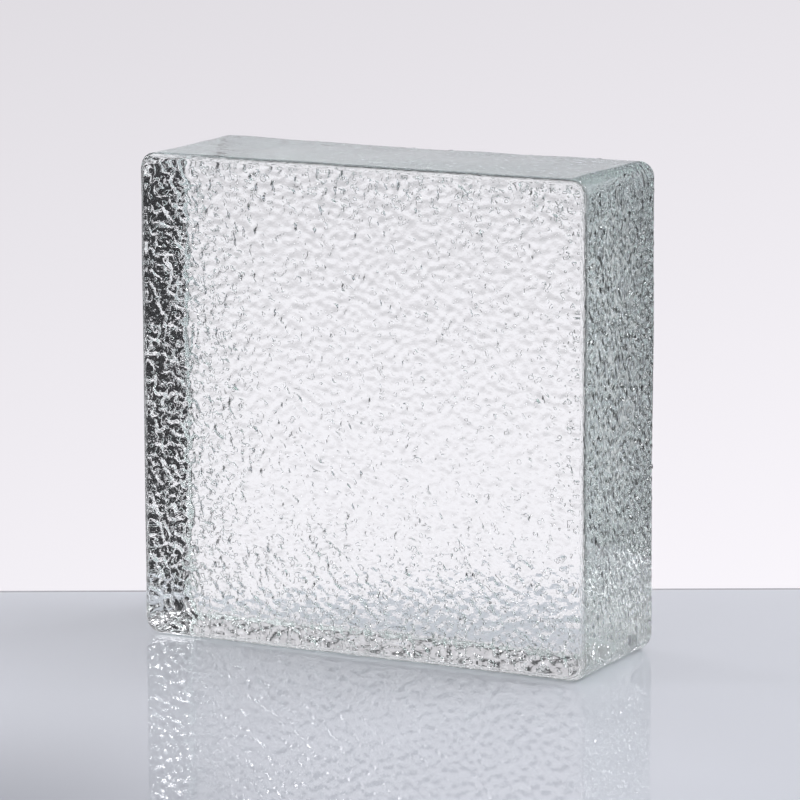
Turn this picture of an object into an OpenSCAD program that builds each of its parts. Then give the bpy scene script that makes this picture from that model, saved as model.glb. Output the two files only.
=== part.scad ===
// Solid cast glass block, for building translucent walls.
// Hot glass is poured into a square mould and taken out as one piece, so the block is one solid.
// A roll runs round the front face and round the back face, and both rolls are carried through
// the four rounded corners of the outline.
// The block stands on its lower rim with its front towards -Y and the origin under its centre.

/* [Block] */
// Width of the face, along the wall
block_w = 150; // [100:1:300]
// Height of the face, up the wall
block_h = 150; // [100:1:300]
// Thickness, through the wall
block_t = 50; // [30:1:120]

/* [Edges] */
// Radius of the four corners of the outline
corner_r = 5; // [3:0.1:12]
// Radius of the roll between the front face and the rim
front_roll_r = 1.8; // [0.5:0.1:2.8]
// Radius of the roll between the back face and the rim
back_roll_r = 1.8; // [0.5:0.1:2.8]

/* [Hidden] */
$fn = 96;

// Clear glass with the faint green of a little iron, and its opacity
glass_colour = [0.86, 0.92, 0.90, 0.45];
quarter_turn = 90;
front_y = block_t / 2;
back_y = -block_t / 2;

// Section across the rim, from a corner's centre line at x = 0 out to the rim at x = corner_r.
// y is the height above the middle of the thickness, with the front face on top.
module rim_section() {
    flat_rim = block_t - front_roll_r - back_roll_r;
    translate([0, back_y + back_roll_r]) square([corner_r, flat_rim]);
    translate([0, back_y]) square([corner_r - back_roll_r, back_roll_r]);
    translate([0, front_y - front_roll_r]) square([corner_r - front_roll_r, front_roll_r]);
    translate([corner_r - back_roll_r, back_y + back_roll_r]) circle(r = back_roll_r);
    translate([corner_r - front_roll_r, front_y - front_roll_r]) circle(r = front_roll_r);
}

// One straight side of the rim, as long as the run between two corners
module rim_side(run) {
    rotate([quarter_turn, 0, 0]) linear_extrude(height = run, center = true) rim_section();
}

// One rounded corner of the rim, turned through a quarter circle
module rim_corner() {
    rotate_extrude(angle = quarter_turn) rim_section();
}

// The block lying on its back: a middle, with a side and a corner at each quarter turn
module lying_block() {
    cube([block_w - 2 * corner_r, block_h - 2 * corner_r, block_t], center = true);
    for (turn = [0:3]) {
        across = turn % 2 == 0 ? block_w : block_h;
        along = turn % 2 == 0 ? block_h : block_w;
        rotate([0, 0, turn * quarter_turn]) {
            translate([across / 2 - corner_r, 0, 0]) rim_side(along - 2 * corner_r);
            translate([across / 2 - corner_r, along / 2 - corner_r, 0]) rim_corner();
        }
    }
}

// The block as it stands, front face towards -Y
module glass_block() {
    color(glass_colour) translate([0, 0, block_h / 2]) rotate([quarter_turn, 0, 0]) lying_block();
}

glass_block();
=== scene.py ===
import math

import bpy
import numpy as np
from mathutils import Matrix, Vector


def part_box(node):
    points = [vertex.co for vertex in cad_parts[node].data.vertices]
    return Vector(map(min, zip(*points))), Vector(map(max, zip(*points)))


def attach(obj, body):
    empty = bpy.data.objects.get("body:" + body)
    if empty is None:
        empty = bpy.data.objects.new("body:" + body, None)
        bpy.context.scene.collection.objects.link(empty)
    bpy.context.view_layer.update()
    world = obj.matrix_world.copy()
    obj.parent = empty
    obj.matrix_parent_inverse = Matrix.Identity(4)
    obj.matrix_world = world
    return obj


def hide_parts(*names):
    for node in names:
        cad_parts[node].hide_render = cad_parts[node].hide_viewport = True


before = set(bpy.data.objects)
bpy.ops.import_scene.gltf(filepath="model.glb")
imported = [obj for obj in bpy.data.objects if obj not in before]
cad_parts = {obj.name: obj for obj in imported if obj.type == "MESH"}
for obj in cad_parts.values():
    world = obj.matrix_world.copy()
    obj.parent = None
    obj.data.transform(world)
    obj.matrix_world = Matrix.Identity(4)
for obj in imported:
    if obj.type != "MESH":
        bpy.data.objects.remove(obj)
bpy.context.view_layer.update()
scene = bpy.context.scene

# Glass block, its form.
# One piece of clear glass, cast hot in a square mould. The front cooled against a polished plate,
# the back took the pebbled skin of the mould, and the rims drew in a little as they set.
block_low, block_high = (np.array(corner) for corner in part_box("glass_block"))
block_centre = (block_low + block_high) / 2
block_half = (block_high - block_low) / 2
face_half = block_half[[0, 2]]
corner_r = 0.005
front_roll_r = 0.0018
back_roll_r = 0.0018

# The pebbles need a fine grid, so only the back and its roll have one. Further forward, one cell
# of the grid stands for several of the back's. A narrow row on each side of the front roll keeps
# the roll's shading off the flat front and the flat rim.
back_cells = 264
corner_cells = 6
cells_to_one = 3
back_roll_rows = 6
front_roll_rows = 6
fine_rim_rows = 4
fine_rim_width = 0.0024
rim_rows = 14
beside_roll = 0.0004


def grid_line(reach, edge, cells, cells_in_edge):
    """Places along one direction of a face, from -reach to reach.
    They are evenly spaced through the corner at each end, and evenly between the two corners."""
    steps = (0, cells_in_edge, cells - cells_in_edge, cells)
    places = (-reach, edge - reach, reach - edge, reach)
    return np.interp(np.arange(cells + 1), steps, places)


def unit_or_zero(vectors):
    """Each vector divided by its length, and a vector of no length left at zero."""
    lengths = np.linalg.norm(vectors, axis=-1, keepdims=True)
    return vectors / np.where(lengths > 0, lengths, 1)


def face_grid(inset, cells, cells_in_corner):
    """A grid over a face, as far in from the rim as the inset, a square with rounded corners.
    Each point is given by the nearest point of the rectangle through the corners' centres, the
    direction from there, and the distance. The distance is the greater of the two offsets in an
    even square grid, so the squares round a corner's centre become quarter circles."""
    lines = [grid_line(half - inset, corner_r - inset, cells, cells_in_corner) for half in face_half]
    flat = np.stack(np.meshgrid(*lines, indexing="ij"), axis=-1)
    core = np.clip(flat, corner_r - face_half, face_half - corner_r)
    distance = np.abs(flat - core).max(axis=-1, keepdims=True)
    return core, unit_or_zero(flat - core), distance


def once_round(grid):
    """The outer values of a grid, once round it."""
    return np.concatenate([grid[:-1, 0], grid[-1, :-1], grid[:0:-1, -1], grid[0, :0:-1]])


def roll_section(roll, side, rows):
    """Section of a roll from its face to the rim, a quarter circle in even steps.
    A row is the distance in from the rim, the place through the block, and the outward direction
    as a part away from the block's middle and a part along Y."""
    turn = np.linspace(0, math.pi / 2, rows + 1)
    inset = roll * (1 - np.sin(turn))
    depth = side * (block_half[1] - roll * (1 - np.cos(turn)))
    return np.stack([inset, depth, np.sin(turn), side * np.cos(turn)], axis=-1)


def rim_section(start, stop, rows):
    """Section of the straight rim, from one place through the block to another in even steps."""
    depth = np.linspace(start, stop, rows + 1)
    return np.stack([0 * depth, depth, 1 + 0 * depth, 0 * depth], axis=-1)


def carried_round(section, core, direction):
    """A section carried round the outline: points, and the outward directions there.
    Each row of the section lies at its distance in from the rim along the outline's directions."""
    inset, depth, away, along_y = (column[:, None, None] for column in section.T)
    flat = core + direction * (corner_r - inset)
    facing = direction * away
    level = np.zeros(flat.shape[:2] + (1,))
    points = np.concatenate([flat[..., :1], level + depth, flat[..., 1:]], axis=-1)
    return points, np.concatenate([facing[..., :1], level + along_y, facing[..., 1:]], axis=-1)


def face_points(side, core, direction, distance):
    """Points of a flat face's grid, and the outward directions there, which lie along Y."""
    return carried_round(
        np.array([[0, side * block_half[1], 0, side]]), core.reshape(-1, 2),
        (direction * distance / corner_r).reshape(-1, 2),
    )


def face_quads(grid):
    """Quads of a grid of point numbers."""
    corners = (grid[:-1, :-1], grid[1:, :-1], grid[1:, 1:], grid[:-1, 1:])
    return np.stack(corners, axis=-1).reshape(-1, 4)


def bands(rings):
    """Quads between each ring of point numbers and the next, once round."""
    after = np.roll(rings, -1, axis=1)
    return np.stack([rings[:-1], after[:-1], after[1:], rings[1:]], axis=-1).reshape(-1, 4)


back_grid = face_grid(back_roll_r, back_cells, corner_cells)
front_grid = face_grid(
    front_roll_r + beside_roll, back_cells // cells_to_one, corner_cells // cells_to_one
)
ring_core, ring_direction = (once_round(values) for values in back_grid[:2])
fine_rim_end = block_half[1] - back_roll_r - fine_rim_width
fine_section = np.concatenate([
    roll_section(back_roll_r, 1, back_roll_rows),
    rim_section(block_half[1] - back_roll_r, fine_rim_end, fine_rim_rows)[1:],
])
coarse_section = np.concatenate([
    rim_section(fine_rim_end, front_roll_r - block_half[1] + beside_roll, rim_rows),
    roll_section(front_roll_r, -1, front_roll_rows)[::-1],
])
shells = (
    face_points(1, *back_grid),
    carried_round(fine_section[1:], ring_core, ring_direction),
    carried_round(coarse_section[1:], ring_core[::cells_to_one], ring_direction[::cells_to_one]),
    face_points(-1, *front_grid),
)
points, outward = (np.concatenate([part.reshape(-1, 3) for part in kind]) for kind in zip(*shells))
shell_shapes = [shell_points.shape[:-1] for shell_points, _ in shells]
shell_starts = np.cumsum([0] + [math.prod(shape) for shape in shell_shapes])
numbers = [
    start + np.arange(math.prod(shape)).reshape(shape)
    for start, shape in zip(shell_starts, shell_shapes)
]
back_numbers = numbers[0].reshape(back_cells + 1, -1)
front_numbers = numbers[3].reshape(back_cells // cells_to_one + 1, -1)
fine_rings = np.concatenate([once_round(back_numbers)[None], numbers[1]])
coarse_rings = np.concatenate([numbers[2], once_round(front_numbers)[None]])
fine_last = fine_rings[-1].reshape(-1, cells_to_one)
coarse_first = coarse_rings[0]
meeting = np.concatenate([
    fine_last, np.roll(fine_last[:, 0], -1)[:, None],
    np.roll(coarse_first, -1)[:, None], coarse_first[:, None],
], axis=1)
quads = np.concatenate([
    face_quads(back_numbers)[:, ::-1], bands(fine_rings), bands(coarse_rings),
    face_quads(front_numbers),
])

# The pebbles cover the back and run over its roll at the left and at the foot, where its edge is
# ragged as well. The rims are only a little uneven, the front is all but flat, and the middle of the
# top has sunk towards the back. The glass chilled faster near its sides, so the pebbles are deeper
# there. Values by side are for the left, the right, the foot and the top.
pebble_depth = 0.000138
pebble_length = (0.0021, 0.0040)
pebble_waves = 160
pebble_reach = (0.0016, 0.0030)
pebble_facing = (0.5, 0.95)
pebbled_rims = np.array([-1.0, 0.0, -1.0])
chill_rise = np.array([0.45, 0.5, 0.8, 0.85])[:, None]
chill_reach = np.array([0.034, 0.030, 0.042, 0.028])[:, None]
edge_rise = 0.5
edge_reach = 0.006
ragged_depth = 0.00050
ragged_length = (0.0025, 0.0070)
ragged_waves = 80
ragged_width = 0.004
ragged_sides = np.array([1.0, 0.0, 0.5, 0.0])[:, None]
rim_depth = 0.00007
rim_length = (0.018, 0.070)
rim_waves = 40
front_depth = 0.000004
front_length = (0.020, 0.080)
front_waves = 20
front_facing = (0.25, 0.95)
sag_depth = 0.0006
sag_reach = 0.060
sag_facing = (0.3, 0.95)
sag_rear = (-0.6, 1.0)
relief_seed = 11


def smooth_step(low, high, value):
    """0 up to low and 1 from high, with a cubic that starts and ends level between them."""
    share = np.clip((value - low) / (high - low), 0, 1)
    return share * share * (3 - 2 * share)


def ripples(places, shortest, longest, count, random):
    """Sum of plane cosine waves in random directions of space, scaled to a mean square of 1.
    Their lengths lie between the shortest and the longest, evenly by ratio, with random phases."""
    direction = unit_or_zero(random.normal(size=(count, 3)))
    length = shortest * (longest / shortest) ** random.random((count, 1))
    phase = random.uniform(0, 2 * math.pi, count)
    waves = np.cos(places @ (2 * math.pi * direction / length).T + phase)
    return math.sqrt(2 / count) * waves.sum(axis=1)


back_share = 1 - smooth_step(*pebble_reach, block_half[1] - points[:, 1])
back_share *= np.maximum(
    smooth_step(*pebble_facing, outward[:, 1]), np.clip(outward @ pebbled_rims, 0, 1)
)
front_share = smooth_step(*front_facing, -outward[:, 1])
rim_share = 1 - np.maximum(back_share, front_share)
side_gaps = np.stack([
    block_half[0] + points[:, 0], block_half[0] - points[:, 0],
    block_half[2] + points[:, 2], block_half[2] - points[:, 2],
])
nearness = 1 - smooth_step(0, 1, side_gaps / chill_reach)
gain = 1 + (chill_rise * nearness).max(axis=0)
gain += edge_rise * (1 - smooth_step(0, edge_reach, side_gaps.min(axis=0)))
from_edge = np.maximum(side_gaps, block_half[1] - points[:, 1])
ragged_share = (ragged_sides * (1 - smooth_step(0, ragged_width, from_edge))).max(axis=0)
relief_random = np.random.default_rng(relief_seed)
pebbles = ripples(points, *pebble_length, pebble_waves, relief_random)
raised = back_share * gain * pebble_depth * pebbles
raised += ragged_share * ragged_depth * ripples(points, *ragged_length, ragged_waves, relief_random)
raised += rim_share * rim_depth * ripples(points, *rim_length, rim_waves, relief_random)
raised += front_share * front_depth * ripples(points, *front_length, front_waves, relief_random)
top_share = smooth_step(*sag_facing, outward[:, 2])
rear_share = smooth_step(*sag_rear, points[:, 1] / block_half[1])
raised -= sag_depth * top_share * rear_share * np.exp(-((points[:, 0] / sag_reach) ** 2))
points = points + outward * raised[:, None] + block_centre
points[:, 2] = np.maximum(points[:, 2], 0)

block_mesh = bpy.data.meshes.new("cast_glass_block")
block_mesh.from_pydata(points.tolist(), [], quads.tolist() + meeting.tolist())
block_mesh.shade_smooth()
for value_name, values in (("pebbled", back_share), ("chilled", nearness.max(axis=0))):
    block_mesh.attributes.new(value_name, "FLOAT", "POINT").data.foreach_set("value", values)
block = bpy.data.objects.new("cast_glass_block", block_mesh)
scene.collection.objects.link(block)
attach(block, "root")
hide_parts("glass_block")

# Glass block, its finish.
# Clear glass with a trace of iron, so long ways through it look faintly green. The mould left a fine
# grain and patches of small pits on the back, and handling left the polish a little uneven.
# Depths are for the middle of the back and for its sides.
glass_ior = 1.52
glass_tint = (0.92, 0.985, 0.958, 1)
glass_tint_density = 6.0
polish_scale = 60
polish_detail = 2.0
polish_limits = (0.3, 0.7)
polish_roughness = 0.012
grain_scale = 1400
grain_detail = 1.0
grain_depth = (0.00010, 0.00022)
pit_scale = 900
pit_limits = (0.56, 0.68)
pit_depth = (0.00010, 0.00028)
patch_scale = 450
patch_limits = (0.58, 0.66)
patch_crowding = 0.16


def math_node(tree, operation, *values):
    """Output of a math node; each value is a number or the output of another node."""
    node = tree.nodes.new("ShaderNodeMath")
    node.operation = operation
    for socket, value in zip(node.inputs, values):
        if isinstance(value, (int, float)):
            socket.default_value = value
        else:
            tree.links.new(value, socket)
    return node.outputs["Value"]


def ranged(tree, value, limits, results, interpolation="SMOOTHSTEP"):
    """Output of a node that carries a value from between two limits to between two results.
    Outside the limits it stays at the nearer result."""
    node = tree.nodes.new("ShaderNodeMapRange")
    node.interpolation_type = interpolation
    tree.links.new(value, node.inputs["Value"])
    sockets = ("From Min", "From Max", "To Min", "To Max")
    for socket, number in zip(sockets, (*limits, *results)):
        node.inputs[socket].default_value = number
    return node.outputs["Result"]


def noise(tree, place, scale, detail):
    """Output of a noise node at a place, with so many features to a metre."""
    node = tree.nodes.new("ShaderNodeTexNoise")
    node.inputs["Scale"].default_value = scale
    node.inputs["Detail"].default_value = detail
    tree.links.new(place, node.inputs["Vector"])
    return node.outputs["Fac"]


def mesh_value(tree, name):
    """Output of a node that reads a value kept on the mesh's points."""
    node = tree.nodes.new("ShaderNodeAttribute")
    node.attribute_name = name
    return node.outputs["Fac"]


glass = bpy.data.materials.new("clear_cast_glass")
glass.use_nodes = True
glass_tree = glass.node_tree
glass_shader = glass_tree.nodes["Principled BSDF"]
glass_shader.inputs["Base Color"].default_value = (1, 1, 1, 1)
glass_shader.inputs["Transmission Weight"].default_value = 1
glass_shader.inputs["IOR"].default_value = glass_ior
glass_place = glass_tree.nodes.new("ShaderNodeTexCoord").outputs["Object"]
polish = noise(glass_tree, glass_place, polish_scale, polish_detail)
dullness = ranged(glass_tree, polish, polish_limits, (0, polish_roughness), "LINEAR")
glass_tree.links.new(dullness, glass_shader.inputs["Roughness"])
chill = mesh_value(glass_tree, "chilled")
hollow = ranged(glass_tree, noise(glass_tree, glass_place, pit_scale, 0), pit_limits, (0, -1))
patchy = noise(glass_tree, glass_place, patch_scale, 0)
crowded = math_node(glass_tree, "MULTIPLY_ADD", chill, patch_crowding, patchy)
pits = math_node(glass_tree, "MULTIPLY", hollow, ranged(glass_tree, crowded, patch_limits, (0, 1)))
grain = noise(glass_tree, glass_place, grain_scale, grain_detail)
grain_height, pit_height = (
    math_node(glass_tree, "MULTIPLY", fine, ranged(glass_tree, chill, (0, 1), depths, "LINEAR"))
    for fine, depths in ((grain, grain_depth), (pits, pit_depth))
)
fine_height = math_node(glass_tree, "ADD", grain_height, pit_height)
skin_height = math_node(glass_tree, "MULTIPLY", fine_height, mesh_value(glass_tree, "pebbled"))
bump = glass_tree.nodes.new("ShaderNodeBump")
bump.inputs["Distance"].default_value = 1.0
glass_tree.links.new(skin_height, bump.inputs["Height"])
glass_tree.links.new(bump.outputs["Normal"], glass_shader.inputs["Normal"])
tint = glass_tree.nodes.new("ShaderNodeVolumeAbsorption")
tint.inputs["Color"].default_value = glass_tint
tint.inputs["Density"].default_value = glass_tint_density
glass_tree.links.new(tint.outputs["Volume"], glass_tree.nodes["Material Output"].inputs["Volume"])
block_mesh.materials.append(glass)

# Camera: a long lens a little above the block and to its right, as the photograph was taken.
image_pixels = 800
focal_pixels = 4578
camera_azimuth = math.radians(27.2)
camera_elevation = math.radians(10.5)
camera_roll = math.radians(-0.2)
camera_distance = 1.395
aim_pixel = (396.0, 400.3)
sensor_width = 36
farthest_seen = 100

camera_data = bpy.data.cameras.new("camera")
camera_data.sensor_width = sensor_width
camera_data.lens = focal_pixels / image_pixels * sensor_width
camera_data.shift_x = (image_pixels / 2 - aim_pixel[0]) / image_pixels
camera_data.shift_y = (aim_pixel[1] - image_pixels / 2) / image_pixels
camera_data.clip_end = farthest_seen
camera = bpy.data.objects.new("camera", camera_data)
scene.collection.objects.link(camera)
scene.camera = camera
towards_camera = np.array([
    math.sin(camera_azimuth) * math.cos(camera_elevation),
    -math.cos(camera_azimuth) * math.cos(camera_elevation),
    math.sin(camera_elevation),
])
camera.location = block_centre + camera_distance * towards_camera
camera.rotation_euler = (math.pi / 2 - camera_elevation, 0, camera_azimuth)
camera.rotation_euler.rotate_axis("Z", camera_roll)

# Floor: a pale glossy table top that ends a hand's width behind the block.
# A darker strip of painted shade runs along its rear edge, and painted shade darkens its colour
# towards the left front. Lengths ahead and aside are from the block's middle, as the camera looks.
floor_gap = 0.0003
floor_behind = 0.071
floor_size = 3.0
floor_colour = (0.86, 0.92, 0.97, 1)
floor_roughness = 0.012
floor_edge = 0.0022
floor_edge_shade_colour = (0.5, 0.52, 0.55, 1)
painted_shade_colour = (0.52, 0.56, 0.60, 1)
painted_shade_ahead = (-0.06, -0.19)
painted_shade_aside = (0.0, -0.11)


def along(tree, place, direction):
    """Output of a node that gives how far a place lies along a direction, their dot product."""
    node = tree.nodes.new("ShaderNodeVectorMath")
    node.operation = "DOT_PRODUCT"
    node.inputs[1].default_value = direction
    tree.links.new(place, node.inputs[0])
    return node.outputs["Value"]


aside = np.array([math.cos(camera_azimuth), math.sin(camera_azimuth), 0])
ahead = np.array([-math.sin(camera_azimuth), math.cos(camera_azimuth), 0])
floor_lines = (floor_behind - floor_size, floor_behind - floor_edge, floor_behind)
floor_points = [
    ahead * line + aside * side * floor_size / 2 - np.array([0, 0, floor_gap])
    for line in floor_lines for side in (-1, 1)
]
floor_mesh = bpy.data.meshes.new("floor")
floor_mesh.from_pydata(floor_points, [], [(0, 1, 3, 2), (2, 3, 5, 4)])
floor_mesh.polygons.foreach_set("material_index", [0, 1])
floor = bpy.data.objects.new("floor", floor_mesh)
scene.collection.objects.link(floor)
floor_paint = bpy.data.materials.new("pale_gloss_floor")
floor_paint.use_nodes = True
floor_tree = floor_paint.node_tree
floor_shader = floor_tree.nodes["Principled BSDF"]
floor_shader.inputs["Roughness"].default_value = floor_roughness
# The rear edge strip gets its own darker colour, a painted shade.
edge_paint = floor_paint.copy()
edge_paint.name = "painted_shade_floor_edge"
edge_shader = edge_paint.node_tree.nodes["Principled BSDF"]
edge_shader.inputs["Base Color"].default_value = floor_edge_shade_colour
floor_mesh.materials.append(floor_paint)
floor_mesh.materials.append(edge_paint)
floor_place = floor_tree.nodes.new("ShaderNodeTexCoord").outputs["Object"]
# Painted shade: the floor's base colour blends into the shade colour towards the left front.
shade = math_node(floor_tree, "MULTIPLY", *(
    ranged(floor_tree, along(floor_tree, floor_place, direction), limits, (0, 1))
    for direction, limits in ((ahead, painted_shade_ahead), (aside, painted_shade_aside))
))
shading = floor_tree.nodes.new("ShaderNodeValToRGB")
shading.color_ramp.elements[0].color = floor_colour
shading.color_ramp.elements[1].color = painted_shade_colour
floor_tree.links.new(shade, shading.inputs["Fac"])
floor_tree.links.new(shading.outputs["Color"], floor_shader.inputs["Base Color"])

# Studio: a lit pale backdrop behind the block, dim surroundings and lamps above and to the side.
# The camera itself sees only a pale wall in every direction, brighter lower down and a little to
# the right by painted light. Places on the backdrop are metres aside of its middle and above the
# floor.
light_colour = (1.0, 0.97, 1.02, 1)
backdrop_behind = 1.0
backdrop_half_width = 0.38
backdrop_height = (-1.2, 0.75)
backdrop_peak = 0.98
backdrop_base = 0.61
backdrop_peak_height = -0.19
backdrop_fall = 0.26
backdrop_foot = (-0.62, -0.45)
backdrop_head = (0.295, 0.415)
backdrop_head_share = 0.1
backdrop_edge = 0.08
spot_place = (-0.19, 0.45, 0)
spot_radius = (0.035, 0.055)
spot_strength = 8.0

backdrop_low, backdrop_high = backdrop_height
backdrop_places = [
    (-backdrop_half_width, backdrop_low), (backdrop_half_width, backdrop_low),
    (backdrop_half_width, backdrop_high), (-backdrop_half_width, backdrop_high),
]
backdrop_corners = [
    ahead * backdrop_behind + aside * across + np.array([0, 0, height])
    for across, height in backdrop_places
]
backdrop_mesh = bpy.data.meshes.new("backdrop")
backdrop_mesh.from_pydata(backdrop_corners, [], [(0, 1, 2, 3)])
backdrop_mesh.uv_layers.new(name="place")
backdrop_mesh.uv_layers["place"].data.foreach_set("uv", np.ravel(backdrop_places))
backdrop = bpy.data.objects.new("backdrop", backdrop_mesh)
scene.collection.objects.link(backdrop)
backdrop.visible_camera = False
paper = bpy.data.materials.new("lit_paper")
paper.use_nodes = True
paper_tree = paper.node_tree
paper_tree.nodes.clear()
paper_uv = paper_tree.nodes.new("ShaderNodeUVMap")
paper_uv.uv_map = "place"
paper_parts = paper_tree.nodes.new("ShaderNodeSeparateXYZ")
paper_tree.links.new(paper_uv.outputs["UV"], paper_parts.inputs["Vector"])
paper_across, paper_height = paper_parts.outputs["X"], paper_parts.outputs["Y"]
from_peak = math_node(paper_tree, "SUBTRACT", paper_height, backdrop_peak_height)
from_peak = math_node(paper_tree, "DIVIDE", from_peak, backdrop_fall)
fallen = math_node(paper_tree, "MULTIPLY", from_peak, from_peak)
peak = math_node(paper_tree, "EXPONENT", math_node(paper_tree, "MULTIPLY", fallen, -1.0))
lit = math_node(paper_tree, "MULTIPLY_ADD", peak, backdrop_peak - backdrop_base, backdrop_base)
off_middle = math_node(paper_tree, "ABSOLUTE", paper_across)
from_side = math_node(paper_tree, "SUBTRACT", backdrop_half_width, off_middle)
share = math_node(paper_tree, "DIVIDE", from_side, backdrop_edge)
share = math_node(paper_tree, "MINIMUM", share, 1.0)
for limits, results in ((backdrop_foot, (0, 1)), (backdrop_head, (1, backdrop_head_share))):
    share = math_node(paper_tree, "MULTIPLY", share, ranged(paper_tree, paper_height, limits, results))
from_spot = paper_tree.nodes.new("ShaderNodeVectorMath")
from_spot.operation = "DISTANCE"
from_spot.inputs[1].default_value = spot_place
paper_tree.links.new(paper_uv.outputs["UV"], from_spot.inputs[0])
spot = ranged(paper_tree, from_spot.outputs["Value"], spot_radius, (spot_strength, 0))
glowing = paper_tree.nodes.new("ShaderNodeEmission")
glowing.inputs["Color"].default_value = light_colour
paper_strength = math_node(paper_tree, "MULTIPLY_ADD", lit, share, spot)
paper_tree.links.new(paper_strength, glowing.inputs["Strength"])
paper_output = paper_tree.nodes.new("ShaderNodeOutputMaterial")
paper_tree.links.new(glowing.outputs["Emission"], paper_output.inputs["Surface"])
backdrop_mesh.materials.append(paper)

# Lights of the surroundings are round. Their bearings are from +Y towards +X, and all angles are in
# degrees. The broad light at the right weakens with height, and a dark card stands in its middle.
surroundings = 0.03
side_light = {"bearing": 52, "height": 0, "inner": 38, "outer": 46, "strength": 1.0}
dark_card = {"bearing": 28, "height": -5.5, "inner": 11.5, "outer": 15.5, "strength": 1.0}
side_fall = (1, 9)
side_fall_share = 0.36
lamps = (
    {"bearing": -4, "height": 33.5, "inner": 2, "outer": 4, "strength": 12.0},
    {"bearing": 31, "height": 25.5, "inner": 2.5, "outer": 4.5, "strength": 10.0},
    {"bearing": -75, "height": 22, "inner": 3, "outer": 5, "strength": 16.0},
    {"bearing": -120, "height": 25, "inner": 3, "outer": 5, "strength": 16.0},
    {"bearing": 60, "height": 45, "inner": 15, "outer": 30, "strength": 1.7},
    {"bearing": 0, "height": 90, "inner": 45, "outer": 60, "strength": 0.7},
)
wall_heights = (-13, -5)
wall_brightness = (0.93, 0.76)
wall_sides = (-0.09, 0.09)
wall_evenness = (0.97, 1.03)
light_bounces = 32
glass_bounces = 24

studio = bpy.data.worlds.new("studio")
studio.use_nodes = True
scene.world = studio
studio_tree = studio.node_tree
sight = studio_tree.nodes.new("ShaderNodeTexCoord").outputs["Generated"]


def glow(bearing, height, inner, outer, strength):
    """Brightness of a soft round light: full within the inner angle, and gone at the outer one."""
    turn, lift = math.radians(bearing), math.radians(height)
    middle = (math.sin(turn) * math.cos(lift), math.cos(turn) * math.cos(lift), math.sin(lift))
    angle = math_node(studio_tree, "ARCCOSINE", along(studio_tree, sight, middle))
    return ranged(studio_tree, angle, (math.radians(inner), math.radians(outer)), (strength, 0))


def by_height(limits, results):
    """Brightness that changes with the height of the line of sight, between two angles."""
    rises = [math.sin(math.radians(limit)) for limit in limits]
    return ranged(studio_tree, along(studio_tree, sight, (0, 0, 1)), rises, results, "LINEAR")


beside_card = math_node(studio_tree, "SUBTRACT", 1.0, glow(**dark_card))
weakening = by_height(side_fall, (1, side_fall_share))
weakened = math_node(studio_tree, "MULTIPLY", glow(**side_light), weakening)
lights = math_node(studio_tree, "MULTIPLY_ADD", weakened, beside_card, surroundings)
for lamp in lamps:
    lights = math_node(studio_tree, "ADD", lights, glow(**lamp))
# Painted light on the wall that the camera sees: brighter lower down and slightly to the right.
evenness = ranged(studio_tree, along(studio_tree, sight, aside), wall_sides, wall_evenness, "LINEAR")
wall = math_node(studio_tree, "MULTIPLY", by_height(wall_heights, wall_brightness), evenness)
seen = studio_tree.nodes.new("ShaderNodeLightPath")
shown = studio_tree.nodes.new("ShaderNodeMix")
studio_tree.links.new(seen.outputs["Is Camera Ray"], shown.inputs["Factor"])
studio_tree.links.new(lights, shown.inputs["A"])
studio_tree.links.new(wall, shown.inputs["B"])
background = studio_tree.nodes["Background"]
background.inputs["Color"].default_value = light_colour
studio_tree.links.new(shown.outputs["Result"], background.inputs["Strength"])
scene.view_settings.view_transform = "Standard"
scene.cycles.max_bounces = light_bounces
scene.cycles.glossy_bounces = glass_bounces
scene.cycles.transmission_bounces = glass_bounces
